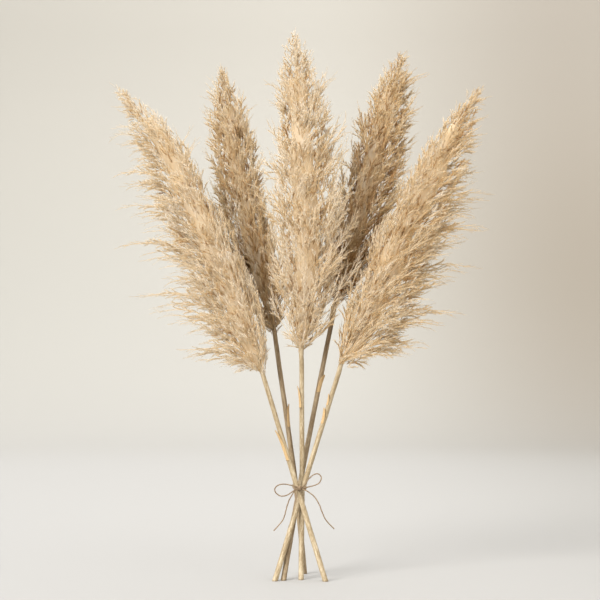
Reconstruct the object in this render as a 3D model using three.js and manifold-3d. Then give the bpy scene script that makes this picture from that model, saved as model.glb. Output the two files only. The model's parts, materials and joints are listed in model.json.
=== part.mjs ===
// A bundle of five dried pampas grass stems. They cross at a waist that is tied with jute twine,
// and the bundle stands on its five cut ends.
// Millimetres, +Z up, +X to the right and -Y to the front. The ground is at z = 0.

import * as THREE from 'three';
import { ConvexGeometry } from 'three/addons/geometries/ConvexGeometry.js';
import { mergeVertices } from 'three/addons/utils/BufferGeometryUtils.js';
import Module from 'manifold-3d';

const wasm = await Module();
wasm.setup();

// Driving dimensions
const gap = 0.35; // between pieces that touch
const bindingEase = 0.25; // more room where a stem bends between its rings
const mergeDistance = 1e-4;
const waistHeight = 175; // middle of the twine binding
const bendReach = 60; // a stem bends over about this much above and below the waist
const footRadius = 5.3;
const neckRadius = 4.5; // where the plume starts
const rachisTipRadius = 1.4; // thin end of the stem, inside the plume
const rachisShare = 0.86; // how far up the plume the stem runs
const stemSides = 12;
const caneRings = 22; // rings up to the neck
const rachisRings = 8; // and from there to the thin end
const plumeSides = 14;
const plumeRings = 22;
const lobeSides = 7;
const lobeRings = 8;
const lobeLean = 0.5; // how far a side branch follows the spine before it turns out
const plumeMouth = 0.18; // a plume's lower end, round the stem, as a share of its greatest width
const plumeSwell = { rise: 0.42, fall: 0.62 }; // how fast a plume widens and narrows again
const sheathSides = 6;
const sheathRings = 6;
const sheathFlatness = 0.5; // a sheath's thickness as a share of its width
const twineDiameter = 2.2;
const twineSides = 8;
const bindingTurns = 3;
const knotSize = { width: 12, depth: 7, height: 10, bevel: 2.2 };

// Each stem stands at foot, passes the waist at waist and meets its plume at the first spine point.
// The spine runs up the middle of the plume. left, right and deep are the plume's half widths.
// A lobe is a long side branch: it leaves the spine at a share of its length and ends at tip.
const stems = [
  {
    name: 'left',
    foot: [49, -51],
    waist: [-5, -23],
    spine: [[-74, -26, 402], [-121, -38, 542], [-188, -46, 698], [-262, -47, 844], [-352, -44, 954]],
    left: 68, right: 48, deep: 42,
    lobes: [
      { at: 0.5, tip: [-360, -56, 779], radius: 17 },
      { at: 0.58, tip: [-362, -38, 850], radius: 15 },
      { at: 0.36, tip: [-350, -30, 716], radius: 17 },
      { at: 0.27, tip: [-346, -60, 640], radius: 19 },
      { at: 0.17, tip: [-322, -30, 545], radius: 20 },
      { at: 0.1, tip: [-282, -62, 516], radius: 19 },
      { at: 0.03, tip: [-230, -44, 442], radius: 16 },
      { at: 0.42, tip: [-214, -52, 866], radius: 17 },
      { at: 0.2, tip: [-176, -100, 700], radius: 19 },
    ],
  },
  {
    name: 'back_left',
    foot: [9, 54],
    waist: [-8, 21],
    spine: [[-51, 34, 480], [-68, 38, 560], [-104, 42, 700], [-130, 43, 850], [-155, 42, 1006]],
    left: 42, right: 46, deep: 36,
    lobes: [
      { at: 0.3, tip: [-92, 36, 924], radius: 15 },
      { at: 0.16, tip: [-70, 34, 812], radius: 15 },
      { at: 0.42, tip: [-190, 46, 940], radius: 14 },
      { at: 0.26, tip: [-120, 92, 850], radius: 17 },
    ],
  },
  {
    name: 'centre',
    foot: [2, -29],
    waist: [4, 0],
    spine: [[3, -15, 441], [12, -28, 560], [12, -42, 690], [2, -48, 860], [-18, -46, 1058]],
    left: 70, right: 72, deep: 46,
    lobes: [
      { at: 0.32, tip: [-66, -44, 960], radius: 18 },
      { at: 0.16, tip: [-97, -66, 764], radius: 18 },
      { at: 0.34, tip: [64, -54, 972], radius: 19 },
      { at: 0.2, tip: [91, -40, 864], radius: 20 },
      { at: 0.08, tip: [102, -98, 636], radius: 16 },
      { at: 0.22, tip: [22, -104, 800], radius: 20 },
    ],
  },
  {
    name: 'back_right',
    foot: [-32, -38],
    waist: [-1, 11],
    spine: [[70, 33, 536], [98, 38, 640], [132, 42, 760], [164, 43, 890], [196, 42, 1038]],
    left: 46, right: 46, deep: 36,
    lobes: [
      { at: 0.34, tip: [244, 40, 990], radius: 16 },
      { at: 0.24, tip: [244, 52, 922], radius: 16 },
      { at: 0.14, tip: [214, 36, 830], radius: 15 },
      { at: 0.26, tip: [150, 92, 880], radius: 17 },
    ],
  },
  {
    name: 'right',
    foot: [-48, -46],
    waist: [6, -11],
    spine: [[82, -23, 421], [130, -36, 520], [200, -46, 680], [272, -47, 820], [343, -44, 952]],
    left: 46, right: 70, deep: 42,
    lobes: [
      { at: 0.5, tip: [352, -52, 852], radius: 15 },
      { at: 0.37, tip: [362, -36, 744], radius: 18 },
      { at: 0.28, tip: [354, -58, 676], radius: 19 },
      { at: 0.19, tip: [340, -34, 604], radius: 20 },
      { at: 0.11, tip: [308, -60, 516], radius: 20 },
      { at: 0.04, tip: [238, -42, 454], radius: 17 },
      { at: 0.22, tip: [200, -100, 720], radius: 19 },
    ],
  },
];

// What is left of the dried leaf sheaths. Each clasps its stem between two heights, facing the way
// turn says (degrees, 0 to the right, -90 to the front), and its tip stands off the stem.
const sheaths = [
  { name: 'sheath_left', stem: 0, from: 232, to: 287, turn: -155, radius: 1.7, standOff: 3.2 },
  { name: 'sheath_back_left', stem: 1, from: 296, to: 335, turn: -20, radius: 1.6, standOff: 2.4 },
  { name: 'sheath_centre', stem: 2, from: 336, to: 371, turn: -165, radius: 1.5, standOff: 2.2 },
  { name: 'sheath_back_right', stem: 3, from: 366, to: 392, turn: -40, radius: 1.7, standOff: 1.4 },
  { name: 'sheath_right', stem: 4, from: 306, to: 329, turn: -160, radius: 1.6, standOff: 2.4 },
  { name: 'sheath_right_upper', stem: 4, from: 340, to: 357, turn: -165, radius: 1.2, standOff: 2.0 },
];

const stemColours = [0xd9c79a, 0xc0a070, 0xd2bb8c, 0xb89a68, 0xdac9a0];
const plumeColours = [0xd8c19a, 0xb79a74, 0xdccab0, 0xb9a184, 0xcfbca0];
const sheathColour = 0xb08a58;
const twineColour = 0x9c7d58;

// Curves

// A stem below its plume: a straight line above the waist and another below it, with a soft bend.
class CaneCurve extends THREE.Curve {
  constructor(foot, waist, neck) {
    super();
    this.neckHeight = neck[2];
    this.axes = [0, 1].map((i) => this.bendThrough(foot[i], waist[i], neck[i]));
  }

  // Solves waist + slope u + bend (hypot(u, reach) - reach) for the foot and the neck.
  bendThrough(foot, waist, neck) {
    const low = -waistHeight;
    const high = this.neckHeight - waistHeight;
    const lowBend = Math.hypot(low, bendReach) - bendReach;
    const highBend = Math.hypot(high, bendReach) - bendReach;
    const whole = low * highBend - high * lowBend;
    const slope = ((foot - waist) * highBend - (neck - waist) * lowBend) / whole;
    const bend = (low * (neck - waist) - high * (foot - waist)) / whole;
    return { waist, slope, bend };
  }

  atHeight(z) {
    const u = z - waistHeight;
    const bent = Math.hypot(u, bendReach) - bendReach;
    const [x, y] = this.axes.map((axis) => axis.waist + axis.slope * u + axis.bend * bent);
    return new THREE.Vector3(x, y, z);
  }

  getPoint(t) {
    return this.atHeight(t * this.neckHeight);
  }
}

const vectors = (points) => points.map((p) => new THREE.Vector3(...p));

const caneOf = (stem) => new CaneCurve(stem.foot, stem.waist, stem.spine[0]);

const spineOf = (stem) => new THREE.CatmullRomCurve3(vectors(stem.spine));

// Solids

// Takes a shape turned about Z with heights from 0 to 1 and lays it along a curve. place gives the
// curve's point for a height, and section says how a point (x, y) of the ring lies in space.
function layAlong(geometry, place, section) {
  const position = geometry.attributes.position;
  const p = new THREE.Vector3();
  for (let i = 0; i < position.count; i++) {
    p.fromBufferAttribute(position, i);
    const along = THREE.MathUtils.clamp(p.z, 0, 1);
    const offset = section(p.x, p.y, along);
    p.copy(place(along)).add(offset);
    position.setXYZ(i, p.x, p.y, p.z);
  }
  return geometry;
}

// A closed solid of revolution about Z, from radii at heights between 0 and 1.
function turned(radiusAt, heights, sides) {
  const profile = [new THREE.Vector2(0, 0)];
  for (const t of heights) {
    const radius = radiusAt(t);
    if (radius > 0) profile.push(new THREE.Vector2(radius, t));
  }
  profile.push(new THREE.Vector2(0, 1));
  return new THREE.LatheGeometry(profile, sides).rotateX(Math.PI / 2);
}

// Evenly spaced numbers from start to end, both included.
function spaced(start, end, count) {
  return Array.from({ length: count + 1 }, (_, i) => THREE.MathUtils.lerp(start, end, i / count));
}

function asSolid(geometry) {
  const bare = geometry.clone();
  bare.deleteAttribute('normal');
  bare.deleteAttribute('uv');
  const merged = mergeVertices(bare, mergeDistance);
  const vertProperties = new Float32Array(merged.attributes.position.array);
  const triVerts = new Uint32Array(merged.index.array);
  const solid = new wasm.Manifold(new wasm.Mesh({ numProp: 3, vertProperties, triVerts }));
  if (solid.volume() <= 0) throw new Error('a solid is inside out');
  return solid;
}

function asGeometry(solid) {
  const mesh = solid.getMesh();
  const geometry = new THREE.BufferGeometry();
  geometry.setAttribute('position', new THREE.BufferAttribute(mesh.vertProperties, 3));
  geometry.setIndex(new THREE.BufferAttribute(mesh.triVerts, 1));
  geometry.computeVertexNormals();
  return geometry;
}

// The stem: a cane with level rings, so that its foot is cut flat, and the rachis inside the plume.
function stemSolid(stem, grow) {
  const cane = caneOf(stem);
  const spine = spineOf(stem);
  const rachis = spine.getLength() * rachisShare;
  const whole = cane.neckHeight + rachis;
  const place = (t) => {
    const along = t * whole;
    if (along <= cane.neckHeight) return cane.atHeight(along);
    return spine.getPointAt(Math.min(((along - cane.neckHeight) / rachis) * rachisShare, 1));
  };
  const radiusAt = (t) => {
    const along = t * whole;
    if (along <= cane.neckHeight) {
      return grow + THREE.MathUtils.lerp(footRadius, neckRadius, along / cane.neckHeight);
    }
    return grow + THREE.MathUtils.lerp(neckRadius, rachisTipRadius, (along - cane.neckHeight) / rachis);
  };
  const level = (x, y) => new THREE.Vector3(x, y, 0);
  const neck = cane.neckHeight / whole;
  const heights = [...spaced(0, neck, caneRings), ...spaced(neck, 1, rachisRings).slice(1)];
  return asSolid(layAlong(turned(radiusAt, heights, stemSides), place, level));
}

// A plume's half width as a share of its greatest, from its mouth at 0 to its tip at 1.
function plumeShape(t) {
  const { rise, fall } = plumeSwell;
  const peak = rise / (rise + fall);
  const greatest = peak ** rise * (1 - peak) ** fall;
  return (t ** rise * (1 - t) ** fall) / greatest;
}

// Across the plume: side lies in the plane of the front view, and front is square to it.
function frameAt(curve, t) {
  const tangent = curve.getTangentAt(THREE.MathUtils.clamp(t, 0.001, 0.999));
  const side = new THREE.Vector3(0, 1, 0).cross(tangent).normalize();
  const front = tangent.clone().cross(side).normalize();
  return { side, front };
}

function lobeSolid(spine, lobe) {
  const root = spine.getPointAt(lobe.at);
  const tip = new THREE.Vector3(...lobe.tip);
  const lean = spine.getTangentAt(lobe.at).multiplyScalar(root.distanceTo(tip) * lobeLean);
  const branch = new THREE.QuadraticBezierCurve3(root, root.clone().add(lean), tip);
  const radiusAt = (t) => (t < 1 ? lobe.radius * Math.cos((Math.PI / 2) * t) : 0);
  const place = (t) => branch.getPointAt(t);
  const across = (x, y, t) => {
    const { side, front } = frameAt(branch, t);
    return side.multiplyScalar(x).addScaledVector(front, y);
  };
  return asSolid(layAlong(turned(radiusAt, spaced(0, 1, lobeRings), lobeSides), place, across));
}

function plumeSolid(stem) {
  const spine = spineOf(stem);
  const radiusAt = (t) => (t > 0 ? plumeShape(t) : plumeMouth);
  const place = (t) => spine.getPointAt(t);
  const across = (x, y, t) => {
    const { side, front } = frameAt(spine, t);
    const width = x < 0 ? stem.left : stem.right;
    return side.multiplyScalar(x * width).addScaledVector(front, y * stem.deep);
  };
  const body = turned(radiusAt, spaced(0, 1, plumeRings), plumeSides);
  let solid = asSolid(layAlong(body, place, across));
  for (const lobe of stem.lobes) solid = solid.add(lobeSolid(spine, lobe));
  return solid.subtract(stemSolid(stem, gap));
}

// A sheath remnant: a slim blade along the stem that leaves it towards its tip.
function sheathSolid(sheath) {
  const stem = stems[sheath.stem];
  const cane = caneOf(stem);
  const angle = THREE.MathUtils.degToRad(sheath.turn);
  const out = new THREE.Vector3(Math.cos(angle), Math.sin(angle), 0);
  const place = (t) => {
    const z = THREE.MathUtils.lerp(sheath.from, sheath.to, t);
    const stemRadius = THREE.MathUtils.lerp(footRadius, neckRadius, z / cane.neckHeight);
    const clear = stemRadius + sheath.radius * sheathFlatness + gap + bindingEase;
    return cane.atHeight(z).addScaledVector(out, clear + sheath.standOff * t ** 3);
  };
  const radiusAt = (t) => sheath.radius * Math.sqrt(1 - t) * Math.min(1, 0.5 + t * 2);
  const round = new THREE.Vector3(-out.y, out.x, 0);
  const across = (x, y) => out.clone().multiplyScalar(x * sheathFlatness).addScaledVector(round, y);
  return asSolid(layAlong(turned(radiusAt, spaced(0, 1, sheathRings), sheathSides), place, across));
}

// Twine

const bindingHeight = bindingTurns * twineDiameter;
const bindingLow = waistHeight - bindingHeight / 2;
const bindingHigh = waistHeight + bindingHeight / 2;
const bindingInside = gap + bindingEase;

// Points whose hull holds all five stems over the height of the binding, grown by spread.
function waistHull(low, high, spread) {
  const points = [];
  const steps = 24;
  for (const stem of stems) {
    const cane = caneOf(stem);
    for (const z of [low, waistHeight, high]) {
      const middle = cane.atHeight(THREE.MathUtils.clamp(z, bindingLow, bindingHigh));
      const reach = THREE.MathUtils.lerp(footRadius, neckRadius, z / cane.neckHeight) + spread;
      for (let i = 0; i < steps; i++) {
        const angle = (i / steps) * 2 * Math.PI;
        const x = middle.x + reach * Math.cos(angle);
        const y = middle.y + reach * Math.sin(angle);
        points.push(new THREE.Vector3(x, y, low), new THREE.Vector3(x, y, high));
      }
    }
  }
  return points;
}

function bindingSolid() {
  const inner = waistHull(bindingLow - 1, bindingHigh + 1, bindingInside);
  const outer = waistHull(bindingLow, bindingHigh, bindingInside + twineDiameter);
  return asSolid(new ConvexGeometry(outer)).subtract(asSolid(new ConvexGeometry(inner)));
}

const bindingOutline = waistHull(bindingLow, bindingHigh, bindingInside + twineDiameter);
const bindingFront = Math.min(...bindingOutline.map((p) => p.y));
const knotPlace = new THREE.Vector3(0, bindingFront - gap - knotSize.depth / 2, waistHeight + 1.5);

function knotSolid() {
  const { width, depth, height, bevel } = knotSize;
  const outline = new THREE.Shape();
  const halfWidth = width / 2 - bevel;
  const halfHeight = height / 2 - bevel;
  outline.moveTo(-halfWidth, -halfHeight);
  outline.lineTo(halfWidth, -halfHeight);
  outline.lineTo(halfWidth, halfHeight);
  outline.lineTo(-halfWidth, halfHeight);
  const block = new THREE.ExtrudeGeometry(outline, {
    depth: depth - 2 * bevel, bevelSize: bevel, bevelThickness: bevel, bevelSegments: 3, steps: 1,
  });
  block.translate(0, 0, -(depth - 2 * bevel) / 2).rotateX(Math.PI / 2);
  return asSolid(block.translate(knotPlace.x, knotPlace.y, knotPlace.z));
}

// Routes from the middle of the knot: across, to the front (negative) and up.
const bow = {
  bow_loop_left: [
    [-7, 0, 2.9], [-13, -2, 5], [-19.5, -3.5, 6.5], [-26, -5, 8], [-32.5, -6.5, 8.5], [-39, -7.5, 7.5],
    [-45, -8, 4.5], [-48.5, -8.5, -1], [-47, -8, -7], [-42, -7.5, -12], [-36, -7, -14.5],
    [-29, -6, -14], [-23, -4, -12], [-17.5, -2.5, -8.5], [-12, -1.5, -4.5], [-7, 0, -0.2],
  ],
  bow_loop_right: [
    [7, 0, 3.1], [10, -1.5, 8.5], [13.5, -3, 13.5], [17, -4.5, 18.5], [21.5, -6, 23], [26.5, -7, 26.5],
    [32.5, -7.5, 28.5], [38, -8, 26.5], [41, -8, 21], [39.5, -7.5, 15], [36, -6.5, 10],
    [30.5, -5.5, 7], [25, -4, 5], [19, -2.5, 3.5], [13, -1, 1.5], [7, 0, 0.1],
  ],
  bow_tail_left: [
    [-7, 0, -3.2], [-11.5, -1, -7], [-15, -2, -12], [-18, -3, -17], [-21, -3.5, -22.5],
    [-23, -4, -28.5], [-25, -4, -34], [-26.5, -4, -40], [-28, -4, -46], [-29.5, -3.5, -52],
    [-31.5, -3, -57.5], [-34.5, -3, -63], [-38.5, -2.5, -68], [-42.5, -2.5, -72.5], [-46.5, -2, -77],
    [-50.5, -2, -81.5],
  ],
  bow_tail_right: [
    [7, 0, -2.9], [13, -1, -5], [18.5, -2, -8.5], [24, -3, -12.5], [28.5, -3.5, -17], [32.5, -4, -22.5],
    [35.5, -4, -28], [38.5, -4, -34], [40.5, -4, -40.5], [43, -4, -46.5], [45.5, -3.5, -52.5],
    [48.5, -3, -58.5], [52.5, -3, -64], [56.5, -2.5, -68.5], [61.5, -2.5, -73.5], [66, -2, -78],
  ],
};

function twineSolid(route) {
  const path = new THREE.CatmullRomCurve3(vectors(route).map((p) => p.add(knotPlace)));
  const section = new THREE.Shape();
  for (let i = 0; i < twineSides; i++) {
    const angle = (i / twineSides) * 2 * Math.PI;
    const x = (twineDiameter / 2) * Math.cos(angle);
    const y = (twineDiameter / 2) * Math.sin(angle);
    if (i === 0) section.moveTo(x, y);
    else section.lineTo(x, y);
  }
  const steps = Math.round(path.getLength() / (2.5 * twineDiameter));
  return asSolid(new THREE.ExtrudeGeometry(section, { steps, extrudePath: path, bevelEnabled: false }));
}

// The bundle

const bundle = new THREE.Group();

function addPiece(name, solid, colour, roughness) {
  const material = new THREE.MeshStandardMaterial({ color: colour, roughness, metalness: 0 });
  const mesh = new THREE.Mesh(asGeometry(solid), material);
  mesh.name = name;
  bundle.add(mesh);
}

stems.forEach((stem, i) => {
  addPiece(`stem_${stem.name}`, stemSolid(stem, 0), stemColours[i], 0.6);
  addPiece(`plume_${stem.name}`, plumeSolid(stem), plumeColours[i], 0.95);
});
for (const sheath of sheaths) addPiece(sheath.name, sheathSolid(sheath), sheathColour, 0.75);
addPiece('twine_binding', bindingSolid(), twineColour, 0.9);
addPiece('twine_knot', knotSolid(), twineColour, 0.9);
for (const [name, route] of Object.entries(bow)) addPiece(name, twineSolid(route), twineColour, 0.9);

// The origin goes under the middle of the bundle, on the ground.
const bounds = new THREE.Box3().setFromObject(bundle);
const middle = bounds.getCenter(new THREE.Vector3());
bundle.position.set(-middle.x, -middle.y, -bounds.min.z);

export default bundle;
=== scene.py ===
import json
import math
import random

import bmesh
import bpy
from mathutils import Matrix, Vector, noise
from mathutils.geometry import interpolate_bezier

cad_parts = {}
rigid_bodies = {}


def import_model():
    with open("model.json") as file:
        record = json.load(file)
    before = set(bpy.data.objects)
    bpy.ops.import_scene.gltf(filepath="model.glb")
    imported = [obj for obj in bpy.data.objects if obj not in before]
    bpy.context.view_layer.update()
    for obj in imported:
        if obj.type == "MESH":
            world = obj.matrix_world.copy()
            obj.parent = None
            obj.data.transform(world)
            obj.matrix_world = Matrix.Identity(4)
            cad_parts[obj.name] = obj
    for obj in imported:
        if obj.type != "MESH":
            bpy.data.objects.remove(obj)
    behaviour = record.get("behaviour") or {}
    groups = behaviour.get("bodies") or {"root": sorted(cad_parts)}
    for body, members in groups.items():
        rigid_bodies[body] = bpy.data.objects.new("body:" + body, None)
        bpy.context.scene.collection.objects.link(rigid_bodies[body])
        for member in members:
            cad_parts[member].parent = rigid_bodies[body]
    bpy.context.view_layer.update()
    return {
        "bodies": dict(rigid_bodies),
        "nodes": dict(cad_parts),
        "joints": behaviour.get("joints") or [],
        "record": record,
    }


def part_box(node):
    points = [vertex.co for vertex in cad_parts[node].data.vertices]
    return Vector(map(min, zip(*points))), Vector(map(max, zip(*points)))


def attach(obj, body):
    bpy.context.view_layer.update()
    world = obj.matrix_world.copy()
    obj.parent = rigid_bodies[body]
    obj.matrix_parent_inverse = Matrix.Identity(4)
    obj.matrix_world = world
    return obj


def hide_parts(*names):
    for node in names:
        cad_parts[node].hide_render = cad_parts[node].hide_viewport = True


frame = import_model()
nodes = frame["nodes"]
noise.seed_set(3)  # fixes noise_vector, which is otherwise placed by the clock
scene = bpy.context.scene
scene.view_settings.view_transform = "Standard"
mm = 0.001
depth = Vector((0, 1, 0))
finePoints = 20  # in each span of a smooth line
print("frame loaded:", len(nodes), "nodes")

cameraSettings = {"place": (0.0, -3.2, 0.46), "aim": (0.0, 0.0, 0.54), "lens": 98.5}


def addAimed(name, data, place, aim):
    thing = bpy.data.objects.new(name, data)
    thing.location = place
    thing.rotation_euler = (Vector(aim) - thing.location).to_track_quat("-Z", "Y").to_euler()
    scene.collection.objects.link(thing)
    return thing


def addCamera(s):
    scene.camera = addAimed("camera", bpy.data.cameras.new("camera"), s["place"], s["aim"])
    scene.camera.data.lens = s["lens"]


addCamera(cameraSettings)
print("camera placed")


def addPiece(name, mesh, material, node):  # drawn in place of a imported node
    mesh.materials.append(material)
    mesh.shade_smooth()
    piece = bpy.data.objects.new(name, mesh)
    scene.collection.objects.link(piece)
    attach(piece, "root")
    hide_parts(node)
    return piece


def meshFrom(name, bm):
    mesh = bpy.data.meshes.new(name)
    bm.to_mesh(mesh)
    bm.free()
    return mesh


def catmullRom(points, spacing):  # a smooth line through the points, in even steps
    ends = [2 * points[0] - points[1], *points, 2 * points[-1] - points[-2]]
    fine = []
    for a, b, c, d in zip(ends, ends[1:], ends[2:], ends[3:]):
        for k in range(finePoints):
            t = k / finePoints
            fine.append(
                (2 * b + (c - a) * t + (2 * a - 5 * b + 4 * c - d) * t * t
                 + (3 * b - a - 3 * c + d) * t ** 3) / 2
            )
    fine.append(points[-1].copy())
    return evenSteps(fine, spacing)


def facing(angle):  # the level direction at an angle
    return Vector((math.cos(angle), math.sin(angle), 0))


def loopsOf(faces):
    return [loop for face in faces for loop in face.loops]


def evenSteps(points, spacing):
    lengths = [0.0]
    for a, b in zip(points, points[1:]):
        lengths.append(lengths[-1] + (b - a).length)
    count = max(2, round(lengths[-1] / spacing))
    even, k = [], 0
    for i in range(count + 1):
        goal = lengths[-1] * i / count
        while k < len(points) - 2 and lengths[k + 1] < goal:
            k += 1
        span = max(lengths[k + 1] - lengths[k], 1e-9)
        even.append(points[k].lerp(points[k + 1], min(1, (goal - lengths[k]) / span)))
    return even


def pathLength(points):
    return sum((b - a).length for a, b in zip(points, points[1:]))


def framesAlong(points):  # a matrix at each point: Z runs ahead, and the turn about it is least
    side, frames = None, []
    for i, point in enumerate(points):
        ahead = (points[min(i + 1, len(points) - 1)] - points[max(i - 1, 0)]).normalized()
        side = ahead.orthogonal() if side is None else side - ahead * side.dot(ahead)
        side.normalize()
        turned = Matrix((side, ahead.cross(side), ahead)).transposed().to_4x4()
        frames.append(Matrix.Translation(point) @ turned)
    return frames


def tubeMesh(name, tubes, sides):  # each tube is its points and its radii
    curve = bpy.data.curves.new(name, "CURVE")
    curve.dimensions = "3D"
    curve.bevel_depth = 1.0
    curve.bevel_resolution = (sides - 4) // 2
    curve.use_fill_caps = True
    for points, radii in tubes:
        spline = curve.splines.new("POLY")
        spline.points.add(len(points) - 1)
        for knob, point, radius in zip(spline.points, points, radii):
            knob.co = (*point, 1.0)
            knob.radius = radius
    holder = bpy.data.objects.new(name, curve)
    scene.collection.objects.link(holder)
    bpy.context.view_layer.update()
    mesh = bpy.data.meshes.new_from_object(holder)
    bpy.data.objects.remove(holder)
    bpy.data.curves.remove(curve)
    bm = bmesh.new()
    bm.from_mesh(mesh)
    bmesh.ops.remove_doubles(bm, verts=bm.verts, dist=1e-6)
    bm.to_mesh(mesh)
    bm.free()
    return mesh


def newGroup(name, inputs, outputs):  # an input without a value is a vector
    group = bpy.data.node_groups.new(name, "ShaderNodeTree")
    for socket, value in inputs.items():
        kind = "NodeSocketVector" if value is None else "NodeSocketFloat"
        made = group.interface.new_socket(name=socket, in_out="INPUT", socket_type=kind)
        if value is not None:
            made.default_value = value
    for socket, kind in outputs.items():
        group.interface.new_socket(name=socket, in_out="OUTPUT", socket_type=kind)
    source, sink = group.nodes.new("NodeGroupInput"), group.nodes.new("NodeGroupOutput")
    source.location, sink.location = (-900, 0), (500, 0)
    return group, source, sink


def addNode(tree, kind, place, inputs=None, **values):
    node = tree.nodes.new("ShaderNode" + kind)
    node.location = place
    for name, value in values.items():
        setattr(node, name, value)
    for name, value in (inputs or {}).items():
        node.inputs[name].default_value = value
    return node


def wire(tree, *links):  # each link is a node and its output, then a node and its input
    for source, output, target, entry in links:
        tree.links.new(source.outputs[output], target.inputs[entry])


def fillRamp(ramp, stops):  # each stop is its place and its everyday colour
    while len(ramp.elements) > 1:
        ramp.elements.remove(ramp.elements[-1])
    ramp.elements[0].position = stops[0][0]
    ramp.elements[0].color = (*linear(*stops[0][1]), 1)
    for place, colour in stops[1:]:
        ramp.elements.new(place).color = (*linear(*colour), 1)


def linear(r, g, b):  # a colour from its everyday 0 to 255 numbers
    return tuple(
        c / 255 / 12.92 if c <= 10 else ((c / 255 + 0.055) / 1.055) ** 2.4 for c in (r, g, b)
    )


def fibreGroup():  # long streaks and soft blotches along a plant fibre
    group, source, sink = newGroup(
        "plantFibre", {"Vector": None, "Streak Scale": 60.0, "Blotch Scale": 12.0},
        {"Streaks": "NodeSocketFloat", "Blotches": "NodeSocketFloat"},
    )
    streaks = addNode(group, "TexNoise", (-250, 120), {"Detail": 6.0, "Roughness": 0.62})
    blotches = addNode(group, "TexNoise", (-250, -160), {"Detail": 4.0})
    wire(
        group, (source, "Vector", streaks, "Vector"), (source, "Streak Scale", streaks, "Scale"),
        (source, "Vector", blotches, "Vector"), (source, "Blotch Scale", blotches, "Scale"),
        (streaks, "Fac", sink, "Streaks"), (blotches, "Fac", sink, "Blotches"),
    )
    return group


fibre = fibreGroup()


def newMaterial(name):
    material = bpy.data.materials.new(name)
    material.use_nodes = True
    return material, material.node_tree, material.node_tree.nodes["Principled BSDF"]


def roughen(tree, shader, s, rough, relief):  # from the outputs that drive roughness and relief
    smooth, coarse = s["rough"]
    spread = addNode(tree, "MapRange", (-300, -120), {"To Min": smooth, "To Max": coarse})
    strength, distance = s["relief"]
    bump = addNode(tree, "Bump", (-300, -380), {"Strength": strength, "Distance": distance})
    tree.links.new(rough, spread.inputs["Value"])
    tree.links.new(relief, bump.inputs["Height"])
    wire(tree, (spread, "Result", shader, "Roughness"), (bump, "Normal", shader, "Normal"))


def fibreMaterial(name, s):  # one grain gives the streaked colour, the roughness and the relief
    material, tree, shader = newMaterial(name)
    scales = {"Streak Scale": s["streaks"], "Blotch Scale": s["blotches"]}
    grain = addNode(tree, "Group", (-720, 0), scales, node_tree=fibre)
    if "map" in s:
        uv = addNode(tree, "UVMap", (-1100, 0), uv_map=s["map"])
        stretch = addNode(tree, "Mapping", (-920, 0), {"Scale": s["stretch"]})
        wire(tree, (uv, "UV", stretch, "Vector"), (stretch, "Vector", grain, "Vector"))
    else:
        coords = addNode(tree, "TexCoord", (-1000, 0))
        wire(tree, (coords, "Object", grain, "Vector"))
    mixed = addNode(tree, "Mix", (-500, 60), {"Factor": s["blotchShare"]}, data_type="FLOAT")
    ramp = addNode(tree, "ValToRGB", (-300, 120))
    fillRamp(ramp.color_ramp, s["colours"])
    wire(
        tree, (grain, "Streaks", mixed, "A"), (grain, "Blotches", mixed, "B"),
        (mixed, "Result", ramp, "Fac"), (ramp, "Color", shader, "Base Color"),
    )
    roughen(tree, shader, s, grain.outputs[s["roughFrom"]], grain.outputs["Streaks"])
    return material


caneLook = {
    "map": "caneMap", "stretch": (0.9, 1.6, 1.0),  # along in decimetres, and round
    "streaks": 14.0, "blotches": 3.0, "blotchShare": 0.45,
    "rough": (0.42, 0.68), "roughFrom": "Streaks", "relief": (0.35, 0.0006),
}
paleCane = [(0.30, (96, 76, 50)), (0.47, (156, 136, 103)), (0.66, (208, 194, 166))]
tanCane = [(0.30, (80, 62, 40)), (0.47, (132, 111, 82)), (0.66, (178, 160, 130))]
caneLooks = {
    "cane_pale": fibreMaterial("canePale", {**caneLook, "colours": paleCane}),
    "cane_tan": fibreMaterial("caneTan", {**caneLook, "colours": tanCane}),
}

twine = {
    "diameter": 0.0022, "plies": 3, "plyRadius": 0.00062, "plyOffset": 0.00062, "plySides": 6,
    "pitch": 0.0085, "spacing": 0.0007, "routeSpacing": 0.001,
    "fuzzEvery": 0.0022, "fuzzLength": (0.0012, 0.0026), "fuzzWidth": 0.00006, "fuzzLean": (35, 75),
    "fuzzFree": 3,  # places at each end of a cord without loose fibres
}
juteLook = {
    "streaks": 900.0, "blotches": 120.0, "blotchShare": 0.4,
    "colours": [(0.3, (92, 75, 55)), (0.5, (140, 118, 92)), (0.7, (180, 160, 132))],
    "rough": (0.75, 0.95), "roughFrom": "Streaks", "relief": (0.6, 0.0002),
}
jute = fibreMaterial("juteTwine", juteLook)


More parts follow.
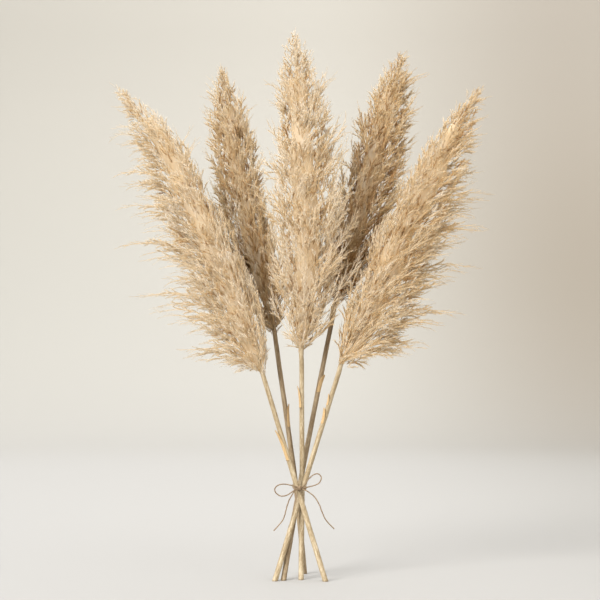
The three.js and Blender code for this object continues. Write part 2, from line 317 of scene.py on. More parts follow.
def twistedTwine(name, path, s, seed):  # three plies laid round the path, with loose fibres
    path = evenSteps(path, s["spacing"])
    frames = framesAlong(path)
    tubes = []
    for ply in range(s["plies"]):
        points = []
        for i, place in enumerate(frames):
            angle = math.tau * (ply / s["plies"] + i * s["spacing"] / s["pitch"])
            points.append(place @ (facing(angle) * s["plyOffset"]))
        tubes.append((points, [s["plyRadius"]] * len(points)))
    mesh = tubeMesh(name, tubes, s["plySides"])
    rng = random.Random(seed)
    bm = bmesh.new()
    bm.from_mesh(mesh)
    for _ in range(round(pathLength(path) / s["fuzzEvery"])):
        place = rng.choice(frames[s["fuzzFree"]:-s["fuzzFree"]])
        length = rng.uniform(*s["fuzzLength"])
        turn = Matrix.Rotation(rng.uniform(0, math.tau), 4, "Z")
        lean = Matrix.Rotation(math.radians(rng.uniform(*s["fuzzLean"])), 4, "X")
        shape = Matrix.Diagonal((s["fuzzWidth"], s["fuzzWidth"], length, 1))
        out = Matrix.Translation((0, -s["plyRadius"], 0))
        bmesh.ops.create_cone(
            bm, cap_ends=True, segments=3, radius1=1, radius2=0, depth=1,
            matrix=place @ turn @ out @ lean @ shape @ Matrix.Translation((0, 0, 0.5)),
        )
    bm.to_mesh(mesh)
    bm.free()
    return mesh


knotLow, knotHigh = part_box("twine_knot")
knotCentre = (knotLow + knotHigh) / 2

bowRoutes = {  # from the middle of the knot, in millimetres
    "bow_loop_left": [
        (-7, 0, 2.9), (-13, -2, 5), (-19.5, -3.5, 6.5), (-26, -5, 8), (-32.5, -6.5, 8.5),
        (-39, -7.5, 7.5), (-45, -8, 4.5), (-48.5, -8.5, -1), (-47, -8, -7), (-42, -7.5, -12),
        (-36, -7, -14.5), (-29, -6, -14), (-23, -4, -12), (-17.5, -2.5, -8.5), (-12, -1.5, -4.5),
        (-7, 0, -0.2),
    ],
    "bow_loop_right": [
        (7, 0, 3.1), (10, -1.5, 8.5), (13.5, -3, 13.5), (17, -4.5, 18.5), (21.5, -6, 23),
        (26.5, -7, 26.5), (32.5, -7.5, 28.5), (38, -8, 26.5), (41, -8, 21), (39.5, -7.5, 15),
        (36, -6.5, 10), (30.5, -5.5, 7), (25, -4, 5), (19, -2.5, 3.5), (13, -1, 1.5), (7, 0, 0.1),
    ],
    "bow_tail_left": [
        (-7, 0, -3.2), (-11.5, -1, -7), (-15, -2, -12), (-18, -3, -17), (-21, -3.5, -22.5),
        (-23, -4, -28.5), (-25, -4, -34), (-26.5, -4, -40), (-28, -4, -46), (-29.5, -3.5, -52),
        (-31.5, -3, -57.5), (-34.5, -3, -63), (-38.5, -2.5, -68), (-42.5, -2.5, -72.5),
        (-46.5, -2, -77), (-50.5, -2, -81.5),
    ],
    "bow_tail_right": [
        (7, 0, -2.9), (13, -1, -5), (18.5, -2, -8.5), (24, -3, -12.5), (28.5, -3.5, -17),
        (32.5, -4, -22.5), (35.5, -4, -28), (38.5, -4, -34), (40.5, -4, -40.5), (43, -4, -46.5),
        (45.5, -3.5, -52.5), (48.5, -3, -58.5), (52.5, -3, -64), (56.5, -2.5, -68.5),
        (61.5, -2.5, -73.5), (66, -2, -78),
    ],
}

for number, (node, route) in enumerate(bowRoutes.items()):
    path = catmullRom([knotCentre + Vector(p) * mm for p in route], twine["routeSpacing"])
    name = node.replace("bow_", "twine_")
    cord = addPiece(name, twistedTwine(name, path, twine, number), jute, node)
    print("cord", node, round(pathLength(path), 4))


def ringsOf(name):  # centre and radius of each level ring of a packed stem
    rings = {}
    for v in nodes[name].data.vertices:
        rings.setdefault(round(v.co.z, 4), []).append(v.co)
    found = []
    for height in sorted(rings):
        ring = rings[height]
        low = Vector([min(c[k] for c in ring) for k in range(3)])
        high = Vector([max(c[k] for c in ring) for k in range(3)])
        found.append(((low + high) / 2, (high - low).to_2d().length / 2 / math.sqrt(2)))
    return found


stems = {
    "left": {"slot": "cane_pale", "nodesAt": (0.128, 0.247), "seed": 11},
    "back_left": {"slot": "cane_tan", "nodesAt": (0.105, 0.312), "seed": 12},
    "centre": {"slot": "cane_pale", "nodesAt": (0.142, 0.352), "seed": 13},
    "back_right": {"slot": "cane_tan", "nodesAt": (0.118, 0.384), "seed": 14},
    "right": {"slot": "cane_pale", "nodesAt": (0.096, 0.318), "seed": 15},
}
caneShape = {
    "spacing": 0.004, "sides": 14, "swelling": 0.07, "swellingReach": 0.005,
    "waver": 0.00035, "waverScale": 22.0, "uneven": 0.03, "unevenScale": 60, "mapScale": 10,
    "runOn": 0.006, "footGap": 0.00005, "rimBevel": 0.0004, "wall": 0.0012, "hollow": 0.0015,
}


def buildCane(name, s, shape):
    rings = ringsOf("stem_" + name)
    centres = [c for c, r in rings]
    radii = [r for c, r in rings]
    ahead = (centres[0] - centres[1]).normalized()
    centres.insert(0, centres[0] + ahead * shape["runOn"])  # on below the floor, to be cut level
    radii.insert(0, radii[0])
    path = catmullRom(centres, shape["spacing"])
    heights = [c.z for c in centres]
    points, sizes = [], []
    for point in path:
        k = max(i for i in range(len(heights) - 1) if heights[i] <= point.z + 1e-9)
        share = (point.z - heights[k]) / (heights[k + 1] - heights[k])
        radius = radii[k] + (radii[k + 1] - radii[k]) * min(1, share)
        for at in s["nodesAt"]:
            away = (point.z - at) / shape["swellingReach"]
            radius *= 1 + shape["swelling"] * math.exp(-away ** 2)
        drift = noise.noise_vector(point * shape["waverScale"] + Vector((s["seed"], 0, 0)))
        points.append(point + Vector((drift.x, drift.y, 0)) * shape["waver"])
        swell = noise.noise(point * shape["unevenScale"] + Vector((0, s["seed"], 0)))
        sizes.append(radius * (1 + shape["uneven"] * swell))
    mesh = tubeMesh("cane_" + name, [(points, sizes)], shape["sides"])
    bm = bmesh.new()
    bm.from_mesh(mesh)
    uv = bm.loops.layers.uv.active
    length = pathLength(points)
    for loop in loopsOf(bm.faces):
        along, around = loop[uv].uv
        loop[uv].uv = (along * length * shape["mapScale"] + s["seed"], around)
    whole = bm.verts[:] + bm.edges[:] + bm.faces[:]
    foot = (0, 0, shape["footGap"])
    cut = bmesh.ops.bisect_plane(
        bm, geom=whole, plane_co=foot, plane_no=(0, 0, -1), clear_outer=True
    )
    rim = [e for e in cut["geom_cut"] if isinstance(e, bmesh.types.BMEdge)]
    ends = bmesh.ops.edgeloop_fill(bm, edges=rim)["faces"]
    bmesh.ops.recalc_face_normals(bm, faces=bm.faces)
    bmesh.ops.inset_region(bm, faces=ends, thickness=shape["wall"], use_even_offset=True)
    bmesh.ops.inset_region(bm, faces=ends, thickness=shape["rimBevel"], depth=-shape["hollow"])
    bmesh.ops.recalc_face_normals(bm, faces=bm.faces)
    bm.to_mesh(mesh)
    bm.free()
    mesh.uv_layers[0].name = "caneMap"
    addPiece("cane_" + name, mesh, caneLooks[s["slot"]], "stem_" + name)
    return points, sizes


canes = {name: buildCane(name, s, caneShape) for name, s in stems.items()}
print("canes built")


def caneAt(name, height):  # where a cane's middle is at a height, and how thick it is
    points, sizes = canes[name]
    for a, b, r in zip(points, points[1:], sizes):
        if a.z <= height <= b.z:
            return a.lerp(b, (height - a.z) / (b.z - a.z)), r
    return points[-1], sizes[-1]


sheathLook = {
    "map": "sheathMap", "stretch": (4.0, 0.6, 1.0), "streaks": 9.0, "blotches": 2.5, "blotchShare": 0.5,
    "colours": [(0.32, (138, 104, 66)), (0.5, (193, 160, 112)), (0.66, (226, 202, 160))],
    "rough": (0.6, 0.85), "roughFrom": "Blotches", "relief": (0.5, 0.0004),
}
drySheath = fibreMaterial("drySheath", sheathLook)

sheathShape = {
    "columns": 12, "rows": 26, "mapStep": 3, "taper": 1.7, "ragged": 0.12, "tipWrap": 0.04,
    "clasp": 0.0004, "liftPower": 2.2, "edgeLift": 0.0006, "ripple": 0.0003, "thickness": 0.00028,
    "tears": (2, 6), "ripples": (3, 9),  # how many across and along
}
sheaths = {
    "sheath_left": {"cane": "left", "ends": (0.228, 0.288), "turn": -155, "wrap": 75, "stand": 0.0042},
    "sheath_back_left": {
        "cane": "back_left", "ends": (0.292, 0.337), "turn": -20, "wrap": 70, "stand": 0.0034,
    },
    "sheath_centre": {
        "cane": "centre", "ends": (0.330, 0.373), "turn": -165, "wrap": 65, "stand": 0.0034,
    },
    "sheath_back_right": {
        "cane": "back_right", "ends": (0.360, 0.394), "turn": -40, "wrap": 80, "stand": 0.0026,
    },
    "sheath_right": {"cane": "right", "ends": (0.300, 0.331), "turn": -160, "wrap": 75, "stand": 0.0032},
    "sheath_right_upper": {
        "cane": "right", "ends": (0.336, 0.358), "turn": -165, "wrap": 55, "stand": 0.0022,
    },
}


def buildSheath(name, s, shape, seed):  # a dry leaf base that clasps the cane and lifts at its tip
    bm = bmesh.new()
    bmesh.ops.create_grid(bm, x_segments=shape["columns"], y_segments=shape["rows"], size=1.0)
    uv = bm.loops.layers.uv.new("sheathMap")
    for loop in loopsOf(bm.faces):
        loop[uv].uv = (loop.vert.co.x, loop.vert.co.y + seed * shape["mapStep"])
    low, high = s["ends"]
    tears, ripples = shape["tears"], shape["ripples"]
    for v in bm.verts:
        across, share = v.co.x, (v.co.y + 1) / 2
        middle, radius = caneAt(s["cane"], low + share * (high - low))
        torn = 1 + shape["ragged"] * noise.noise(Vector((across * tears[0], share * tears[1], seed)))
        narrow = math.sqrt(max(0.0, 1 - share ** shape["taper"])) * torn
        turn = math.radians(s["turn"] + across * s["wrap"] * max(narrow, shape["tipWrap"]))
        lift = shape["clasp"] + s["stand"] * share ** shape["liftPower"]
        lift += shape["edgeLift"] * abs(across) * share
        lift += shape["ripple"] * noise.noise(Vector((across * ripples[0], share * ripples[1], seed + 5)))
        v.co = middle + facing(turn) * (radius + lift)
    bmesh.ops.solidify(bm, geom=bm.faces[:], thickness=-shape["thickness"])
    bmesh.ops.recalc_face_normals(bm, faces=bm.faces)
    leaf = name.replace("sheath_", "leaf_sheath_")
    addPiece(leaf, meshFrom(name, bm), drySheath, name)


for number, (name, s) in enumerate(sheaths.items()):
    buildSheath(name, s, sheathShape, number)
print("sheaths built")

binding = {
    "turns": 3, "steps": 240, "low": 0.1719, "pitch": 0.00215, "offset": 0.00112, "start": -95,
    "seed": 40,
}


def bindingPath(s):  # twine drawn tight round the canes, rising by its own thickness each turn
    points = []
    count = s["steps"] * s["turns"]
    for i in range(count + 1):
        angle = math.radians(s["start"]) + math.tau * s["turns"] * i / count
        height = s["low"] + s["pitch"] * s["turns"] * i / count
        out = facing(angle)
        rings = [caneAt(name, height) for name in canes]
        middle, radius = max(rings, key=lambda ring: ring[0].dot(out) + ring[1])
        point = Vector((middle.x, middle.y, height)) + out * (radius + s["offset"])
        if not points or (point - points[-1]).length > 1e-5:
            points.append(point)
    return points


wrapMesh = twistedTwine("twine_wrap", bindingPath(binding), twine, binding["seed"])
addPiece("twine_wrap", wrapMesh, jute, "twine_binding")

knotShape = {  # in millimetres from its middle
    "strands": [
        [(-7.5, 0.2, 2.9), (-3, 0.2, 2.2), (0, 0.6, 0.9), (3, 0.3, 0.4), (7.5, 0, 0.1)],
        [(-7.5, 0, -0.2), (-3, -0.6, 0.1), (0, -0.5, 0.6), (3, -0.4, 1.9), (7.5, 0.1, 3.1)],
        [(-7.5, 0.1, -3.2), (-3, 0.4, -2.3), (0, 0.9, -1.4), (3, 0.4, -2.0), (7.5, 0.1, -2.9)],
    ],
    "collarTurns": 2.1, "collarSteps": 72, "collarStart": 1.2,
    "collarWidth": 4.0, "collarDepth": 3.0, "collarHeight": 3.7, "seed": 50,
}


def buildKnot(s):  # the strands cross inside a collar of the same twine
    paths = []
    for route in s["strands"]:
        paths.append(catmullRom([knotCentre + Vector(p) * mm for p in route], twine["spacing"]))
    collar = []
    for i in range(s["collarSteps"] + 1):
        angle = math.tau * s["collarTurns"] * i / s["collarSteps"] + s["collarStart"]
        across = -s["collarWidth"] / 2 + s["collarWidth"] * i / s["collarSteps"]
        deep, high = s["collarDepth"] * math.cos(angle), s["collarHeight"] * math.sin(angle)
        collar.append(knotCentre + Vector((across, deep, high)) * mm)
    paths.append(collar)
    bm = bmesh.new()
    for k, path in enumerate(paths):
        bm.from_mesh(twistedTwine("strand", path, twine, s["seed"] + k))
    addPiece("bow_knot", meshFrom("bow_knot", bm), jute, "twine_knot")


buildKnot(knotShape)
print("twine tied")

plumeLook = {
    "colours": [(0.00, (136, 90, 44)), (0.22, (190, 149, 98)), (0.45, (225, 204, 166)),
                (0.70, (241, 232, 214)), (1.00, (247, 243, 235))],
    "endTones": (-0.12, 0.14), "ridges": (240.0, 3.0, 1.0), "fleck": 0.16,
    "rough": (0.65, 0.9), "relief": (0.2, 0.0001), "shine": 0.25,
    "glow": 0.5, "glowColour": (238, 220, 184), "openness": 0.74,  # light through a hair, and past it
}


def strandGroup(s):  # the colour of a strand from its tone, and from how far along it a point is
    group, source, sink = newGroup(
        "strandTone", {"Vector": None, "Root Shade": 0.7, "Tip Shade": 1.0, "Fleck": 0.1},
        {"Color": "NodeSocketColor", "Ridges": "NodeSocketFloat"},
    )
    parts = addNode(group, "SeparateXYZ", (-700, 100))
    stretch = addNode(group, "Mapping", (-700, -200), {"Scale": s["ridges"]})
    ridges = addNode(group, "TexNoise", (-500, -200), {"Scale": 1.0})
    tones = addNode(group, "ValToRGB", (-500, 200))
    fillRamp(tones.color_ramp, s["colours"])
    shade = addNode(group, "MapRange", (-500, 0))
    root, tip = s["endTones"]
    paler = addNode(group, "MapRange", (-700, 350), {"To Min": root, "To Max": tip})
    level = addNode(group, "Math", (-500, 350), operation="ADD")
    fleck = addNode(group, "Math", (-300, -200), operation="MULTIPLY")
    gain = addNode(group, "Math", (-100, -50), operation="ADD")
    colour = addNode(group, "VectorMath", (150, 100), operation="SCALE")
    wire(
        group, (source, "Vector", parts, "Vector"), (source, "Vector", stretch, "Vector"),
        (stretch, "Vector", ridges, "Vector"), (parts, "Y", paler, "Value"), (parts, "X", level, 0),
        (paler, "Result", level, 1), (level, "Value", tones, "Fac"), (parts, "Y", shade, "Value"),
        (source, "Root Shade", shade, "To Min"), (source, "Tip Shade", shade, "To Max"),
        (ridges, "Fac", fleck, 0), (source, "Fleck", fleck, 1), (shade, "Result", gain, 0),
        (fleck, "Value", gain, 1), (tones, "Color", colour, 0), (gain, "Value", colour, "Scale"),
        (colour, "Vector", sink, "Color"), (ridges, "Fac", sink, "Ridges"),
    )
    return group


strandTone = strandGroup(plumeLook)


def plumeMaterial(name, s, rootShade, tipShade):
    material, tree, shader = newMaterial(name)
    uv = addNode(tree, "UVMap", (-900, 0), uv_map="OFBake")
    shades = {"Root Shade": rootShade, "Tip Shade": tipShade, "Fleck": s["fleck"]}
    tone = addNode(tree, "Group", (-650, 0), shades, node_tree=strandTone)
    roughen(tree, shader, s, tone.outputs["Ridges"], tone.outputs["Ridges"])
    shader.inputs["Specular IOR Level"].default_value = s["shine"]
    pale = (*linear(*s["glowColour"]), 1)
    glow = addNode(tree, "BsdfTranslucent", (100, -300), {"Color": pale})
    blend = addNode(tree, "MixShader", (350, 0), {"Fac": s["glow"]})
    clear = addNode(tree, "BsdfTransparent", (350, -200))
    # a hair stands for a few loose ones, so its shadow is part open
    sparse = addNode(tree, "MixShader", (550, -150), {"Fac": s["openness"]})
    ray = addNode(tree, "LightPath", (550, 300))
    seen = addNode(tree, "MixShader", (750, 0))
    wire(
        tree, (uv, "UV", tone, "Vector"), (tone, "Color", shader, "Base Color"),
        (shader, "BSDF", blend, 1), (glow, "BSDF", blend, 2), (blend, "Shader", sparse, 1),
        (clear, "BSDF", sparse, 2), (ray, "Is Shadow Ray", seen, "Fac"), (blend, "Shader", seen, 1),
        (sparse, "Shader", seen, 2), (seen, "Shader", tree.nodes["Material Output"], "Surface"),
    )
    return material


plumeMaterials = {
    "plume_cream": plumeMaterial("plumeCream", plumeLook, rootShade=0.88, tipShade=1.0),
    # painted shade: the back plumes wear a copy with darker root and tip shades, as they stand behind the
    # others
    "plume_tan": plumeMaterial("plumeShaded", plumeLook, rootShade=0.84, tipShade=0.98),
}

sprayShape = {
    "shapes": 10, "tones": 24, "hairs": 16, "reach": 0.022, "lean": (8, 36), "curve": 0.75,
    "stagger": 0.8, "hairWidth": 0.0007, "widths": (0.7, 1.15), "hairLength": (0.0088, 0.0148),
    "longest": 1.1, "shorter": 0.35, "hairLean": (6, 32), "toneSpread": 0.8,
    "toneEnds": (0.02, 0.98), "mapWidth": 0.006, "mapRoot": 0.05,
}
fineShape = {
    **sprayShape, "hairs": 12, "lean": (6, 28), "hairWidth": 0.00042, "hairLength": (0.0075, 0.012),
    "hairLean": (4, 22),
}


def addHair(bm, s, share, tone, rng):  # a thin cone, mapped by its tone and by how far along it is
    uv = bm.loops.layers.uv["OFBake"]
    first, last = s["lean"]
    lean = math.radians(first + (last - first) * share)
    bend = lean * s["curve"]
    root = Vector((0, math.sin(bend), math.cos(bend))) * s["reach"] * share
    length = rng.uniform(*s["hairLength"]) * (s["longest"] - s["shorter"] * share)
    width = s["hairWidth"] * rng.uniform(*s["widths"])
    made = bmesh.ops.create_cone(bm, cap_ends=True, segments=3, radius1=1, radius2=0, depth=1)["verts"]
    lowest, highest = s["toneEnds"]
    own = (tone + 0.5 + rng.uniform(-s["toneSpread"], s["toneSpread"])) / s["tones"]
    own = min(max(own, lowest), highest)
    tip = max(made, key=lambda v: v.co.z)
    base = [v for v in made if v is not tip]
    for loop in loopsOf({f for v in made for f in v.link_faces}):
        if loop.vert is tip:
            loop[uv].uv = (own, 1.0)
        else:
            j = base.index(loop.vert)
            loop[uv].uv = (own + (j - 1) * s["mapWidth"], s["mapRoot"] * (j == 1))
    place = (
        Matrix.Translation(root)
        @ Matrix.Rotation(-lean, 4, "X")
        @ Matrix.Rotation(rng.uniform(0, math.tau), 4, "Z")
        @ Matrix.Rotation(math.radians(rng.uniform(*s["hairLean"])), 4, "X")
        @ Matrix.Diagonal((width, width, length, 1))
        @ Matrix.Translation((0, 0, 0.5))
    )
    bmesh.ops.transform(bm, matrix=place, verts=made)


def makeSprays(s):  # small feathery side shoots, each in every tone
    sprays = []
    for shape in range(s["shapes"]):
        row = []
        for tone in range(s["tones"]):
            rng = random.Random(shape)
            bm = bmesh.new()
            bm.loops.layers.uv.new("OFBake")
            for k in range(s["hairs"]):
                addHair(bm, s, (k + rng.random() * s["stagger"]) / s["hairs"], tone, rng)
            row.append(meshFrom("spray", bm))
        sprays.append(row)
    return sprays


sprays, fineSprays = makeSprays(sprayShape), makeSprays(fineShape)
print("sprays made")

plumeShape = {
    "slow": [(0, 0.10), (0.035, 0.3), (0.07, 0.45), (0.12, 0.62), (0.2, 0.84), (0.3, 0.98), (0.45, 1.0),
             (0.6, 0.95), (0.74, 0.81), (0.84, 0.64), (0.92, 0.44), (0.97, 0.27), (1, 0.06)],
    "steep": [(0, 0.28), (0.035, 0.52), (0.07, 0.78), (0.12, 0.98), (0.2, 1.04), (0.3, 1.04), (0.45, 1.0),
              (0.6, 0.92), (0.74, 0.76), (0.84, 0.57), (0.92, 0.37), (0.97, 0.21), (1, 0.04)],
    "caneRings": 22, "step": 0.004, "rows": 50, "tuftLean": 7, "bulge": (3, 0.4),
    "sight": (3, 4),  # points behind and before a place that give its heading
}
# tone is a plume's colour, partly its own and partly painted shade: the back plumes and the right one are
# set darker, as less light reaches them; low is painted shade that darkens a plume towards its foot
plumes = {
    "left": {
        "seed": 21, "coat": 876, "flow": -14, "low": 0.05, "tone": 0.70, "half": (100, 56, 48),
        "rise": ("steep", "slow"), "sweep": (62, 6, 34), "droop": 0.6,
        "flare": {"turn": 180, "locks": 26, "reach": (0.8, 1.16)},
        "tips": [
            (-360, -50, 779), (-362, -32, 850), (-350, -24, 716), (-346, -54, 640), (-322, -24, 545),
            (-282, -56, 516), (-230, -38, 442), (-214, -46, 866), (-176, -94, 700),
        ],
    },
    "back_left": {
        "seed": 22, "coat": 1060, "flow": -4, "low": 0.14, "tone": 0.58, "half": (68, 60, 40),
        "rise": ("slow", "slow"), "sweep": (14, 10, 26), "droop": 0.15,
        "tips": [(-92, 42, 924), (-70, 40, 812), (-190, 52, 940), (-120, 86, 850)],
    },
    "centre": {
        "seed": 23, "coat": 1420, "flow": 12, "low": 0.02, "tone": 0.72, "half": (86, 86, 50),
        "rise": ("slow", "slow"), "sweep": (16, 20, 30), "droop": 0.15,
        "tips": [
            (-66, -38, 960), (-97, -60, 764), (64, -48, 972), (91, -34, 864), (102, -92, 636),
            (22, -98, 800),
        ],
    },
    "back_right": {
        "seed": 24, "coat": 1060, "flow": 16, "low": 0.36, "tone": 0.56, "half": (76, 70, 41),
        "rise": ("slow", "slow"), "sweep": (12, 20, 26), "droop": 0.15,
        "tips": [(244, 46, 990), (244, 58, 922), (214, 42, 830), (150, 86, 880)],
    },
    "right": {
        "seed": 25, "coat": 1060, "flow": 14, "low": 0.02, "tone": 0.60, "half": (60, 106, 48),
        "rise": ("slow", "steep"), "sweep": (6, 50, 34), "droop": 0.5,
        "flare": {"turn": 0, "locks": 22, "reach": (0.8, 1.12)},
        "tips": [
            (352, -46, 852), (362, -30, 744), (354, -52, 676), (340, -28, 604), (308, -54, 516),
            (238, -36, 454), (200, -94, 720),
        ],
    },
}


def between(table, x):
    for (a, va), (b, vb) in zip(table, table[1:]):
        if x <= b:
            return va + (vb - va) * (x - a) / (b - a)
    return table[-1][1]


def sided(values, turn):  # a value for each way round: left, right and front or back
    across, deep = math.cos(turn), math.sin(turn)
    return values[1 if across > 0 else 0] * across * across + values[2] * deep * deep


def halfWidth(s, end, turn):
    left, right = s["rise"]
    swells = [between(plumeShape[rise], end) for rise in (left, right, "slow")]
    return sided([w * swell * mm for w, swell in zip(s["half"], swells)], turn)


def spineAt(spine, share):
    x = min(max(share, 0.0), 1.0) * (len(spine) - 1)
    k = min(int(x), len(spine) - 2)
    behind, before = plumeShape["sight"]
    ahead = (spine[min(k + before, len(spine) - 1)] - spine[max(k - behind, 0)]).normalized()
    side = depth.cross(ahead).normalized()
    return spine[k].lerp(spine[k + 1], x - k), ahead, side, ahead.cross(side)


def heading(turn, side, back):
    return side * math.cos(turn) + back * math.sin(turn)


def bulge(s, end):  # how far the middle of a plume hangs to one side of its cane
    rise, ease = plumeShape["bulge"]
    return s["flow"] * mm * min(1.0, rise * end) * (1.0 - ease * end)


def rowWidths(least):  # how wide a plume is in each of its rows, from root to tip
    rows = plumeShape["rows"]
    return [between(plumeShape["slow"], (k + 0.5) / rows) + least for k in range(rows)]


goldenTurn = math.pi * (3 - math.sqrt(5))


def nextTurn(s, turn, rng):  # on round the plume, stopping more often where it reaches further
    turn += goldenTurn
    while rng.random() > math.sqrt(sided(s["half"], turn) / max(s["half"])):
        turn += goldenTurn
    return turn


strandShape = {
    "leaveAngle": 36, "leaveStray": (-4, 6), "sweepStray": 9, "sweepLeast": 0.35, "droopEnd": 1.15,
    "droopStray": (0.6, 1.4), "firstHandle": 0.30, "lastHandle": 0.48, "points": 24,
    "waver": 0.006, "waverScale": 18.0, "waverSpread": 50,
}


def waver(path, rng):  # a strand strays more and more from its line towards its end
    spread = strandShape["waverSpread"]
    drift = Vector([rng.uniform(-spread, spread) for _ in range(3)])
    for k, point in enumerate(path):
        stray = noise.noise_vector(point * strandShape["waverScale"] + drift)
        point += stray * strandShape["waver"] * k / (len(path) - 1)
    return path


def strandPath(spine, s, shape, end, turn, reach, start, rng):
    place, ahead, side, back = spineAt(spine, end)
    out = heading(turn, side, back)
    tip = place + out * halfWidth(s, end, turn) * reach
    tip += side * bulge(s, end)
    root, rootAhead, rootSide, rootBack = spineAt(spine, start)
    leave = math.radians(shape["leaveAngle"] + rng.uniform(*shape["leaveStray"]))
    least, stray = shape["sweepLeast"], shape["sweepStray"]
    swept = sided(s["sweep"], turn) * (least + (1 - least) * reach)
    sweep = math.radians(swept + rng.uniform(-stray, stray))
    away = rootAhead * math.cos(leave) + heading(turn, rootSide, rootBack) * math.sin(leave)
    arrive = ahead * math.cos(sweep) + out * math.sin(sweep)
    droop = s["droop"] * (shape["droopEnd"] - end) * rng.uniform(*shape["droopStray"])
    arrive.z -= droop * abs(math.sin(sweep))
    gap = (tip - root).length
    first = root + away * gap * shape["firstHandle"]
    last = tip - arrive.normalized() * gap * shape["lastHandle"]
    path = evenSteps(interpolate_bezier(root, first, last, tip, shape["points"]), plumeShape["step"])
    return waver(path, rng)


lockShape = {
    "locks": 105, "leastWidth": 0.18, "strands": 2, "backReach": 0.24, "backStray": (0.75, 1.1),
    "highEnd": 0.6, "highReach": 0.75, "reaches": (1.14, 1.06, 1.0, 0.94, 0.88, 0.78),
    "reachStray": (0.93, 1.07), "flareSpread": 48, "flareLow": 0.03, "flareSpan": 0.62,
    "partReach": (0.82, 1.06), "partEnd": (-0.06, 0.04), "partTurn": 0.4,
    "innerShade": 0.35, "evenReach": 0.85, "toneStray": 0.07, "partTone": 0.02, "lowestEnd": 0.02,
    "radii": (0.0017, 0.0006), "denseBelow": 0.86, "denseSpan": 0.3,  # deep strands are the denser ones
}


def lockEnds(shape, rng):  # how far up each lock ends, more of them where the plume is wide
    widths = rowWidths(shape["leastWidth"])
    total, run, ends = sum(widths), 0.0, []
    for k, w in enumerate(widths):
        run += w / total * shape["locks"]
        while len(ends) < run - 0.5 and len(ends) < shape["locks"]:
            ends.append((k + rng.random()) / plumeShape["rows"])
    return ends


def placeLocks(s, shape, rng):  # how far up, which way round and how far out each lock ends
    locks, turn = [], 0.0
    for end in lockEnds(shape, rng):
        turn = nextTurn(s, turn, rng)
        locks.append((end, turn, rng.choice(shape["reaches"]) * rng.uniform(*shape["reachStray"])))
    if "flare" in s:
        flare, spread = s["flare"], shape["flareSpread"]
        for k in range(flare["locks"]):  # and more again on the side that hangs outwards
            side = math.radians(flare["turn"] + rng.uniform(-spread, spread))
            end = shape["flareLow"] + shape["flareSpan"] * (k + rng.random()) / flare["locks"]
            locks.append((end, side, rng.uniform(*flare["reach"])))
    return locks


def lockStrands(spine, s, shape, rng):  # each strand is its path, tone and thickness
    strands = []
    thick, thin = shape["radii"]
    for end, turn, reach in placeLocks(s, shape, rng):
        back = shape["backReach"] * rng.uniform(*shape["backStray"])
        start = max(0.0, end - back * (1 if end < shape["highEnd"] else shape["highReach"]))
        # painted shade: a lock is darker towards the plume's foot, and darker where it stays deep inside
        lockTone = s["tone"] - s["low"] * (1 - end)
        lockTone += shape["innerShade"] * (min(reach, 1.0) - shape["evenReach"])
        lockTone += rng.gauss(0, shape["toneStray"])
        for part in range(shape["strands"]):
            out = reach * rng.uniform(*shape["partReach"])
            partEnd = end + rng.uniform(*shape["partEnd"]) * (part > 0)
            partTurn = turn + rng.uniform(-shape["partTurn"], shape["partTurn"]) * (part > 0)
            partEnd = min(1.0, max(shape["lowestEnd"], partEnd))
            path = strandPath(spine, s, strandShape, partEnd, partTurn, out, start, rng)
            dense = min(1, max(0, (shape["denseBelow"] - out) / shape["denseSpan"]))
            tone = lockTone + rng.gauss(0, shape["partTone"])
            strands.append((path, tone, thin + (thick - thin) * dense))
    return strands


wispShape = {
    "strands": 4, "backReach": 0.26, "stray": 0.011, "shorter": 0.09, "shorterStray": (0.8, 1.2),
    "handle": 0.4, "points": 30, "leave": (0.94, 0.3), "arrive": (0.8, 0.45), "droop": 0.5,
    "tone": -0.06, "radius": 0.0007,
}


def wispStrands(spine, s, shape, rng):  # long wisps that stand out from the rest
    strands = []
    for point in s["tips"]:
        goal = Vector(point) * mm
        share = min(range(len(spine)), key=lambda k: (spine[k] - goal).length) / (len(spine) - 1)
        root, ahead, *_ = spineAt(spine, max(0.0, share - shape["backReach"]))
        near, tipAhead, *_ = spineAt(spine, share)
        out = (goal - near).normalized()
        leave = ahead * shape["leave"][0] + out * shape["leave"][1]
        arrive = out * shape["arrive"][0] + tipAhead * shape["arrive"][1]
        arrive.z -= s["droop"] * shape["droop"]
        for part in range(shape["strands"]):
            stray = Vector([rng.uniform(-1, 1) for _ in range(3)]) * shape["stray"] * (part > 0)
            shorter = shape["shorter"] * part * rng.uniform(*shape["shorterStray"])
            end = root.lerp(goal, 1 - shorter) + stray
            handle = (end - root).length * shape["handle"]
            last = end - arrive.normalized() * handle
            knobs = interpolate_bezier(root, root + leave * handle, last, end, shape["points"])
            path = waver(evenSteps(knobs, plumeShape["step"]), rng)
            strands.append((path, s["tone"] + shape["tone"], shape["radius"]))
    return strands


bodyShape = {
    "along": [(0, 0.1), (0.12, 0.4), (0.3, 0.85), (0.5, 1.0), (0.7, 0.8), (0.88, 0.4), (1, 0.04)],
    "every": 6, "sides": 4, "tone": -0.03, "toneEnds": (0.06, 0.94), "mapWidth": 0.05,
    "mapStart": 0.05, "mapLength": 0.6,
}


